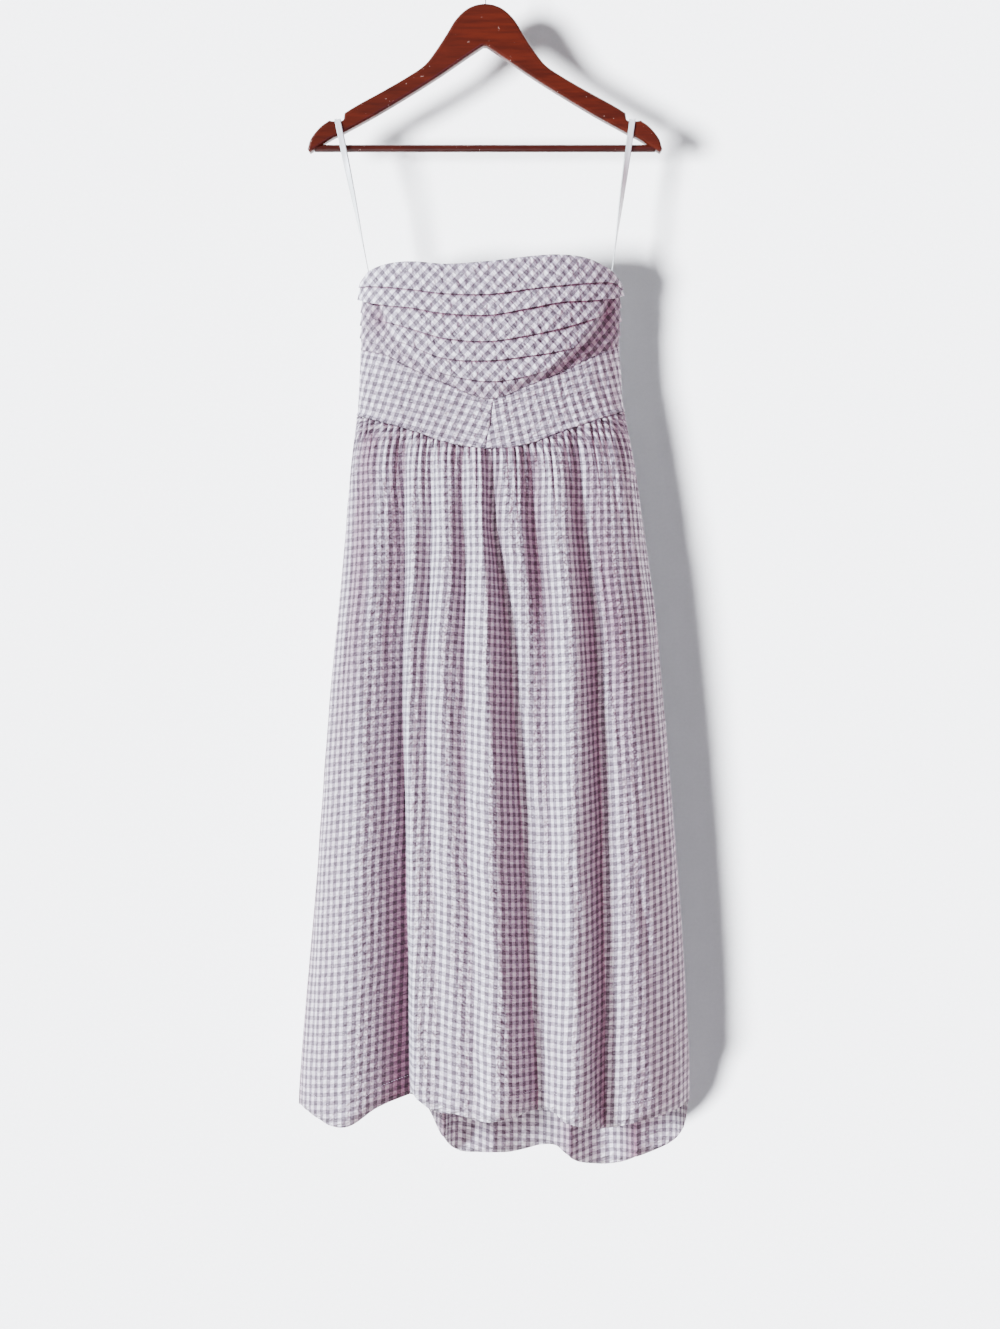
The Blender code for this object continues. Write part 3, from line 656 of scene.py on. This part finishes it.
def bust(material):
    """The pleated bust panel: its layers lie like shingles, each lower edge proud."""
    columns = 300
    layers = len(PLEAT_LINES) - 1
    turn = np.linspace(0.0012, 0.9988, columns)
    seam_down = -pleat_line(-1, turn) / MM
    grid = []
    outs = []
    painted_shades = []
    for layer in range(layers):
        high = pleat_line(layer, turn)
        low = pleat_line(layer + 1, turn)
        last = layer == layers - 1
        if layer:
            high = high - 0.3 * MM
        if last:
            low = low + SEAM_GAP / 2
        hang = 0 if last else 1.0 * MM
        # The last value of each row is painted shade, under the proud lower edge of each layer and at
        # the top of the layer beneath it.
        rows = [(share, 0, PLEAT_STEP * share ** 0.8, 0) for share in
                (0.02, 0.12, 0.25, 0.4, 0.55, 0.7, 0.82, 0.92, 0.97)]
        if last:
            rows = [(share, 0, 0, 0) for share in (0.02, 0.2, 0.4, 0.6, 0.8, 0.96, 1.0)]
        else:
            rows += [(1, 0, PLEAT_STEP, 0), (1, -hang * 0.8, PLEAT_STEP * 0.95, 0),
                     (1, -hang, PLEAT_STEP * 0.7, 0.3), (1, -hang * 0.7, PLEAT_STEP * 0.45, 0.9),
                     (1, -hang * 0.2, 0.1 * MM, 1.0)]
        if layer:
            rows[:2] = [(0.02, 0, 0, 1.0), (0.06, 0, 0, 0.85), (0.11, 0, 0.2 * MM, 0.45),
                        (0.18, 0, 0.4 * MM, 0.08)]
        for share, shift, lift, dark in rows:
            z = mix(high, low, share) + shift
            point, out = base(turn, z, -1)
            rise, shade = bust_rise(point[:, 0] / MM, -mix(high, low, share) / MM, seam_down, layer < 2)
            pucker = 0.35 * MM * noise(11 + layer, turn * 120, z * 40) * (0.3 + share)
            wave = 0.5 * MM * noise(31 + layer, turn * 40) * share
            grid.append(point + out * (rise + lift + pucker + (0 if last else wave))[:, None])
            outs.append(out)
            painted_shades.append(np.maximum(shade, dark))
    points = np.stack(grid)
    outs = np.stack(outs)
    step = np.linalg.norm(np.diff(points, axis=1), axis=-1).mean(0)
    along = np.concatenate([[0], np.cumsum(step)])
    along = along - along[-1] / 2
    z = points[..., 2]
    x = along[None].repeat(len(points), 0)
    turned = math.radians(-44)
    cloth = 0.86 * np.stack([x * math.cos(turned) + z * math.sin(turned),
                             -x * math.sin(turned) + z * math.cos(turned)], -1)
    painted_shades = np.stack(painted_shades)
    # Painted shade along the seam at the bust's foot.
    painted_shades[-1] = 0.55
    settle("bust_cloth", points, outs, cloth, material, ["bust_front"],
           painted_shade=painted_shades)


def panel(name, node, ends, top, foot, side, grain, material, columns, rows):
    """A plain bodice panel between two turns at each row, its grain along its foot."""
    grid = []
    outs = []
    painted_shades = []
    for number in range(rows):
        share = number / (rows - 1)
        first, last = ends(share)
        turn = np.linspace(first, last, columns)
        z = mix(top(turn), foot(turn), share)
        point, out = base(turn, z, side)
        pucker = 0.9 * MM * noise(len(name), turn * 46, z * 75) * math.sin(math.pi * share)
        pucker = pucker + 0.5 * MM * noise(len(name) + 1, turn * 150, z * 30)
        above = (z - foot(turn)) / MM
        welt = 1.6 * MM * np.exp(-((above - 2.2) / 1.6) ** 2)
        seam = 0.8 * MM * np.exp(-((top(turn) - z) / MM / 1.5) ** 2)
        grid.append(point + out * (pucker + welt - seam)[:, None])
        outs.append(out)
        # Painted shade: darker over the left half, and along the seams at the foot and the top.
        painted_shades.append(0.14 * smooth(-point[:, 0] / 0.09)
                       + 0.5 * np.exp(-((above + 0.4) / 0.8) ** 2)
                       + 0.55 * np.exp(-((top(turn) - z) / MM / 1.4) ** 2))
    points = np.stack(grid)
    step = np.linalg.norm(np.diff(points, axis=1), axis=-1).mean(0)
    along = 0.87 * np.concatenate([[0], np.cumsum(step)])[None].repeat(rows, 0)
    z = points[..., 2]
    cloth = np.stack([along * math.cos(grain) + z * math.sin(grain),
                      -along * math.sin(grain) + z * math.cos(grain)], -1)
    settle(name, points, np.stack(outs), cloth, material, [node],
           painted_shade=np.stack(painted_shades))


def bodice(material):
    bust(material)
    seam = 0.0004
    panel("midriff_left_cloth", "midriff_front_left",
          lambda s: (0.0012, centre_turn(s) - seam),
          lambda t: pleat_line(-1, t) - SEAM_GAP / 2,
          lambda t: waist(t, -1) + SEAM_GAP / 2,
          -1, math.radians(-16), material, 130, 60)
    panel("midriff_right_cloth", "midriff_front_right",
          lambda s: (centre_turn(s) + seam, 0.9988),
          lambda t: pleat_line(-1, t) - SEAM_GAP / 2,
          lambda t: waist(t, -1) + SEAM_GAP / 2,
          -1, math.radians(16), material, 130, 60)
    for name, node, first, last in (
            ("back_left_cloth", "bodice_back_left", 0.0012, 0.4999),
            ("back_right_cloth", "bodice_back_right", 0.5001, 0.9988)):
        panel(name, node, lambda s, a=first, b=last: (a, b), back_neck,
              lambda t: waist(t, 1) + SEAM_GAP / 2, 1, 0.0, material, 90, 70)


# Ribbons and stitches

def ribbon(name, node, side, top_x, foot_x, material):
    front = -(6.5 + 1.2) * MM
    notch = -(78 + 146) * MM + 1.2 * MM
    foot = -0.428
    path = []
    for up, stand, turned in ((0, 0.62, 1), (0.12, 0.62, 1), (0.3, 0.66, 0.85),
                              (0.55, 0.78, 0.5), (0.8, 0.94, 0.12), (0.97, 1, 0)):
        path.append((mix(foot_x, top_x, up), front * stand, mix(foot, notch, up), turned))
    over = [(top_x, front * 0.8, notch + 0.6 * MM, 0), (top_x, front * 0.3, notch + 1.2 * MM, 0)]
    behind = [(x, -y, z, -turned) for x, y, z, turned in reversed(path + over)]
    path = np.array(path + over + behind)
    length = np.concatenate([[0], np.cumsum(np.linalg.norm(np.diff(path[:, :3], axis=0), axis=1))])
    fine = np.linspace(0, length[-1], 260)
    line = np.stack([np.interp(fine, length, path[:, k]) for k in range(4)], -1)
    kernel = np.hanning(9) / np.hanning(9).sum()
    for k in range(4):
        padded = np.pad(line[:, k], 4, mode="edge")
        line[:, k] = np.convolve(padded, kernel, "valid")
    rows = []
    cloth = []
    for i in range(len(line)):
        along = Vector(line[min(i + 1, len(line) - 1), :3] - line[max(i - 1, 0), :3]).normalized()
        angle = line[i, 3] * math.pi / 2
        flat = Vector((math.cos(angle), side * math.sin(angle), 0))
        flat = (flat - along * flat.dot(along)).normalized()
        face = along.cross(flat)
        row = []
        for k in range(7):
            w = (k / 6 - 0.5)
            cup = 0.25 * MM * (1 - 4 * w * w)
            row.append(Vector(line[i, :3]) + flat * w * 7.5 * MM + face * cup)
        rows.append(row)
        cloth.append([((k / 6) * 0.0075, fine[i]) for k in range(7)])
    points = np.array([[tuple(p) for p in row] for row in rows])
    obj = cloth_object(name, points, np.array(cloth), material, 0.5 * MM)
    obj.modifiers["cloth"].offset = 0
    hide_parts(node)
    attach(obj, BODY)


def through(points, first=0):
    """Places on a smooth curve through these points, from the one numbered first."""
    rows = [(k, *point) for k, point in enumerate(points)]
    at = np.linspace(first, len(points) - 1, 6 * (len(points) - 1 - first) + 1)
    return list(zip(table(rows, at, 1), table(rows, at, 2)))


def hanger(material):
    """The hanger's arms, sawn to the smooth outline and rounded over along both faces."""
    half = through(HEAD_AND_ARM, 1) + NOTCH + through(ARM_END) + through(ARM_FOOT)
    outline = half + [(-x, down) for x, down in reversed(half[1:])]
    edge = np.array(outline) * MM
    ahead = np.roll(edge, -1, 0) - np.roll(edge, 1, 0)
    inward = np.stack([-ahead[:, 1], ahead[:, 0]], -1)
    inward /= np.linalg.norm(inward, axis=1)[:, None]
    bm = bmesh.new()
    rings = []
    steps = [math.radians(angle) for angle in (0, 22, 45, 68, 90)]
    profile = [(3.4 * (1 - math.sin(a)), HANGER_THICK / 2 - 3.4 * (1 - math.cos(a))) for a in steps]
    profile += [(inset, -y) for inset, y in reversed(profile)]
    for inset, y in profile:
        ring = edge + inward * inset * MM
        rings.append([bm.verts.new((x, -y * MM, -HANGER_TOP * MM - down)) for x, down in ring])
    count = len(outline)
    for low, high in zip(rings, rings[1:]):
        for k in range(count):
            k2 = (k + 1) % count
            bm.faces.new((low[k], low[k2], high[k2], high[k]))
    bm.faces.new(rings[0])
    bm.faces.new(rings[-1])
    bmesh.ops.recalc_face_normals(bm, faces=bm.faces)
    for face in bm.faces:
        face.smooth = len(face.verts) == 4
    mesh = bpy.data.meshes.new("hanger_arms")
    bm.to_mesh(mesh)
    bm.free()
    mesh.materials.append(material)
    obj = bpy.data.objects.new("hanger_arms", mesh)
    bpy.context.scene.collection.objects.link(obj)
    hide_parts("hanger_body")
    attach(obj, BODY)


def stitches(name, line, out, pitch, long, material):
    """A run of short raised stitches along a line of points."""
    step = np.concatenate([[0], np.cumsum(np.linalg.norm(np.diff(line, axis=0), axis=1))])
    bm = bmesh.new()
    place = pitch / 2
    while place + long < step[-1]:
        ends = []
        for at in (place, place + long):
            point = Vector([np.interp(at, step, line[:, k]) for k in range(3)])
            lift = Vector([np.interp(at, step, out[:, k]) for k in range(3)]).normalized()
            ends.append((point, lift))
        (a, lift), (b, _) = ends
        along = (b - a).normalized()
        side = along.cross(lift).normalized()
        middle = (a + b) / 2
        rings = []
        for centre, height, radius in ((a, -0.1, 0.6), (middle, 0.22, 1.0), (b, -0.1, 0.6)):
            ring = []
            for k in range(5):
                angle = 2 * math.pi * k / 5
                spoke = side * math.cos(angle) + lift * math.sin(angle)
                centre_up = centre + lift * height * MM
                ring.append(bm.verts.new(centre_up + spoke * 0.22 * MM * radius))
            rings.append(ring)
        for low, high in zip(rings, rings[1:]):
            for k in range(5):
                bm.faces.new((low[k], low[(k + 1) % 5], high[(k + 1) % 5], high[k]))
        bm.faces.new(rings[0][::-1])
        bm.faces.new(rings[-1])
        place += pitch
    mesh = bpy.data.meshes.new(name)
    bm.to_mesh(mesh)
    bm.free()
    mesh.materials.append(material)
    for polygon in mesh.polygons:
        polygon.use_smooth = True
    obj = bpy.data.objects.new(name, mesh)
    bpy.context.scene.collection.objects.link(obj)
    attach(obj, BODY)
    return obj


def hem_stitches(name, side, first, last, folds, seed, material):
    """The hem's row of stitches, 24 mm above its edge."""
    points, out, _, _ = skirt_grid(first, last, side, folds, 420, 82, seed)
    edge = points[-1]
    above = []
    lift = []
    for k in range(points.shape[1]):
        column = points[::-1, k]
        run = np.concatenate([[0], np.cumsum(np.linalg.norm(np.diff(column, axis=0), axis=1))])
        above.append([np.interp(0.024, run, column[:, i]) for i in range(3)])
        lift.append(out[-2, k])
    above = np.array(above) + np.array(lift) * 0.15 * MM
    stitches(name, above, np.array(lift), 3.6 * MM, 2.3 * MM, material)


def seam_stitches(material):
    """Edge stitching beside the waist seam, the bust seam and the top edge."""
    turn = np.linspace(0.004, 0.996, 300)
    runs = [
        # name, line, above, rise
        ("waist_stitches", waist(turn, -1), 4.6 * MM, 0.35 * MM),
        ("bust_seam_stitches", pleat_line(-1, turn), -3.0 * MM, 0.25 * MM),
    ]
    for name, line, above, rise in runs:
        point, out = base(turn, line + above, -1)
        stitches(name, point + out * rise, out, 2.8 * MM, 1.8 * MM, material)
    turn = np.linspace(0.01, 0.99, 200)
    point, out = base(turn, back_neck(turn) - 4 * MM, 1)
    stitches("back_top_stitches", point + out * 0.35 * MM, out, 2.8 * MM, 1.8 * MM, material)


# The room

def wall():
    """A white wall behind the dress, open when seen from its other side."""
    material = bpy.data.materials.new("wall_paint")
    material.use_nodes = True
    tree = material.node_tree
    tree.nodes.clear()
    out = tree.nodes.new("ShaderNodeOutputMaterial")
    paint = tree.nodes.new("ShaderNodeBsdfDiffuse")
    glow = tree.nodes.new("ShaderNodeEmission")
    clear = tree.nodes.new("ShaderNodeBsdfTransparent")
    both = tree.nodes.new("ShaderNodeAddShader")
    side = tree.nodes.new("ShaderNodeMixShader")
    facing = tree.nodes.new("ShaderNodeNewGeometry")
    place = tree.nodes.new("ShaderNodeTexCoord").outputs["Object"]
    grain = noise_of(tree, place, 220.0, 3.0)
    shade = ramp_of(tree, grain, [(0.3, (0.80, 0.81, 0.83)), (0.7, (0.84, 0.85, 0.87))])
    tree.links.new(shade, paint.inputs["Color"])
    glow.inputs["Color"].default_value = (0.80, 1.12, 1.05, 1)
    glow.inputs["Strength"].default_value = 0.12
    tree.links.new(paint.outputs[0], both.inputs[0])
    tree.links.new(glow.outputs[0], both.inputs[1])
    tree.links.new(facing.outputs["Backfacing"], side.inputs[0])
    tree.links.new(both.outputs[0], side.inputs[1])
    tree.links.new(clear.outputs[0], side.inputs[2])
    tree.links.new(side.outputs[0], out.inputs[0])
    mesh = bpy.data.meshes.new("wall")
    corners = [(-4, 0.1, 2.5), (-4, 0.1, -4.5), (4, 0.1, -4.5), (4, 0.1, 2.5)]
    mesh.from_pydata(corners, [], [(0, 1, 2, 3)])
    mesh.materials.append(material)
    obj = bpy.data.objects.new("wall", mesh)
    bpy.context.scene.collection.objects.link(obj)
    return obj


def receive(lamp, obj, state):
    """Lets a lamp light this object alone, or everything but it."""
    group = bpy.data.collections.new(lamp.name + " receivers")
    group.objects.link(obj)
    lamp.light_linking.receiver_collection = group
    group.collection_objects[0].light_linking.link_state = state


def room():
    world = bpy.data.worlds.new("studio")
    bpy.context.scene.world = world
    world.use_nodes = True
    tree = world.node_tree
    back = tree.nodes["Background"]
    direction = tree.nodes.new("ShaderNodeTexCoord").outputs["Generated"]
    split = tree.nodes.new("ShaderNodeSeparateXYZ")
    tree.links.new(direction, split.inputs[0])
    behind = math_node(tree, "MULTIPLY_ADD", split.outputs[1], 6.0, -4.2, clamp=True)
    left = math_node(tree, "MULTIPLY_ADD", split.outputs[0], -0.5, 0.5, clamp=True)
    soft = mix_colour(tree, left, (0.23, 0.135, 0.185), (0.38, 0.35, 0.385))
    colour = mix_colour(tree, behind, soft, (5.6, 5.75, 5.95))
    tree.links.new(colour, back.inputs[0])
    back.inputs[1].default_value = 1.0
    behind = wall()
    lights = [
        # name, place, aim, size, watts, colour
        ("fill", (1.4, -2.7, -0.7), (0.0, 0.0, -0.9), 1.8, 40, (1.0, 0.44, 0.74)),
        ("floor bounce", (-0.3, -1.3, -2.5), (0.05, 0.0, -1.5), 0.8, 26, (1.0, 0.98, 0.98)),
    ]
    for name, place, aim, size, watts, colour in lights:
        data = bpy.data.lights.new(name, "AREA")
        data.shape = "SQUARE"
        data.size = size
        data.energy = watts
        data.color = colour
        lamp = bpy.data.objects.new(name, data)
        lamp.location = place
        lamp.rotation_euler = (Vector(aim) - Vector(place)).to_track_quat("-Z", "Y").to_euler()
        bpy.context.scene.collection.objects.link(lamp)
        receive(lamp, behind, "EXCLUDE")
    suns = [
        # name, direction, strength, angle, colour, whether it lights the wall alone
        ("window", (0.83, 0.52, -0.22), 12.3, 9, (0.91, 0.98, 1.11), False),
        ("wall light", (0.60, 0.84, 0.26), 25.0, 14, (0.99, 1.0, 1.02), True),
    ]
    for name, heading, strength, angle, colour, alone in suns:
        data = bpy.data.lights.new(name, "SUN")
        data.energy = strength
        data.angle = math.radians(angle)
        data.color = colour
        lamp = bpy.data.objects.new(name, data)
        lamp.rotation_euler = Vector(heading).to_track_quat("-Z", "Y").to_euler()
        bpy.context.scene.collection.objects.link(lamp)
        receive(lamp, behind, "INCLUDE" if alone else "EXCLUDE")
    camera = bpy.data.cameras.new("camera")
    camera.sensor_fit = "VERTICAL"
    camera.sensor_height = 36
    camera.lens = 41.06
    eye = bpy.data.objects.new("camera", camera)
    eye.location = EYE
    eye.rotation_euler = (math.radians(90), 0, 0)
    bpy.context.scene.collection.objects.link(eye)
    bpy.context.scene.camera = eye


def repaint(node, material):
    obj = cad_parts[node]
    obj.data.materials.clear()
    obj.data.materials.append(material)


cloth_material = gingham()
skirt(cloth_material)
bodice(cloth_material)
satin_material = satin()
ribbon("loop_left_ribbon", "loop_left", -1, -0.1845, -0.1428, satin_material)
ribbon("loop_right_ribbon", "loop_right", 1, 0.1845, 0.1570, satin_material)
hanger(lacquer("mahogany", (0.042, 0.0055, 0.0020), (0.100, 0.0132, 0.0040), 0, 0.25))
repaint("hanger_bar", lacquer("bar_mahogany", (0.030, 0.005, 0.003), (0.060, 0.010, 0.005), 5, 0.2))
repaint("hanger_hook", metal("hook_wire", (0.62, 0.60, 0.57), 0.25))
repaint("zip_slider", metal("zip_enamel", (0.62, 0.55, 0.66), 0.35))
repaint("zip_tab", metal("zip_enamel_tab", (0.62, 0.55, 0.66), 0.35))
thread_material = thread()
hem_stitches("front_hem_stitches", -1, 0.002, 0.998, FRONT_FOLDS, 3, thread_material)
hem_stitches("back_left_hem_stitches", 1, 0.002, 0.497, BACK_FOLDS, 7, thread_material)
hem_stitches("back_right_hem_stitches", 1, 0.503, 0.998, BACK_FOLDS, 7, thread_material)
seam_stitches(thread_material)
room()
